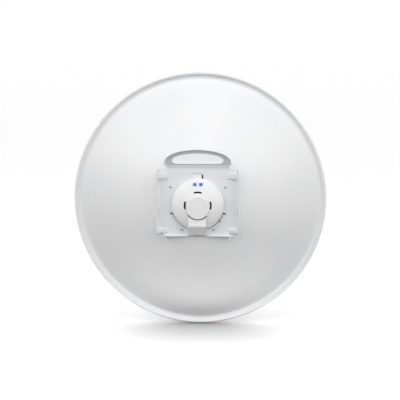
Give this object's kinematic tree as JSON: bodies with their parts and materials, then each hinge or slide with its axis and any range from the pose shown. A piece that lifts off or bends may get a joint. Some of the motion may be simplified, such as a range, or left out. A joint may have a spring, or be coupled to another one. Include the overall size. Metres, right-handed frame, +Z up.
{
  "type": "point-to-point radio dish antenna",
  "caption": "White sheet-metal dish antenna with a gutter-shaped rim, a folded rear plate with carrying handle, a twist-lock rear housing and a front feed.",
  "frame": {"origin": "on the flat rear face of the back plate, on the centre line, 66 mm above the dish's axis", "axes": "+Y forward along the dish's axis, the way it looks; -Y out of the back plate; +X to the right as seen from behind; +Z up"},
  "size_m": [0.5198, 0.1674, 0.5198],
  "materials": {
    "powder_white": "satin powder coat",
    "plate_white": "satin powder coat",
    "plastic_white": "fine moulded satin",
    "lens_white": "translucent",
    "led_blue": "clear lens over a blue lamp",
    "dark_core": "matt black",
    "bare_metal": "brushed",
    "band_grey": "satin"
  },
  "bodies": {
    "root": {"reflector": "powder_white", "back_plate": "plate_white", "plate_rivet_1": "plate_white", "plate_rivet_2": "plate_white", "plate_rivet_3": "plate_white", "plate_rivet_4": "plate_white", "bayonet_ring": "plastic_white", "rear_housing": "plastic_white", "rear_disc": "plastic_white", "port_cover": "plastic_white", "cable_hood": "plastic_white", "network_port": "dark_core", "radio_core": "dark_core", "led_window": "lens_white", "led_left": "led_blue", "led_right": "led_blue", "feed_collar": "plastic_white", "collar_screw_1": "bare_metal", "collar_screw_2": "bare_metal", "collar_screw_3": "bare_metal", "collar_screw_4": "bare_metal", "feed_tube": "plastic_white", "feed_band": "band_grey", "feed_neck": "plastic_white", "sub_reflector": "bare_metal", "feed_cap": "plastic_white"}
  },
  "joints": []
}
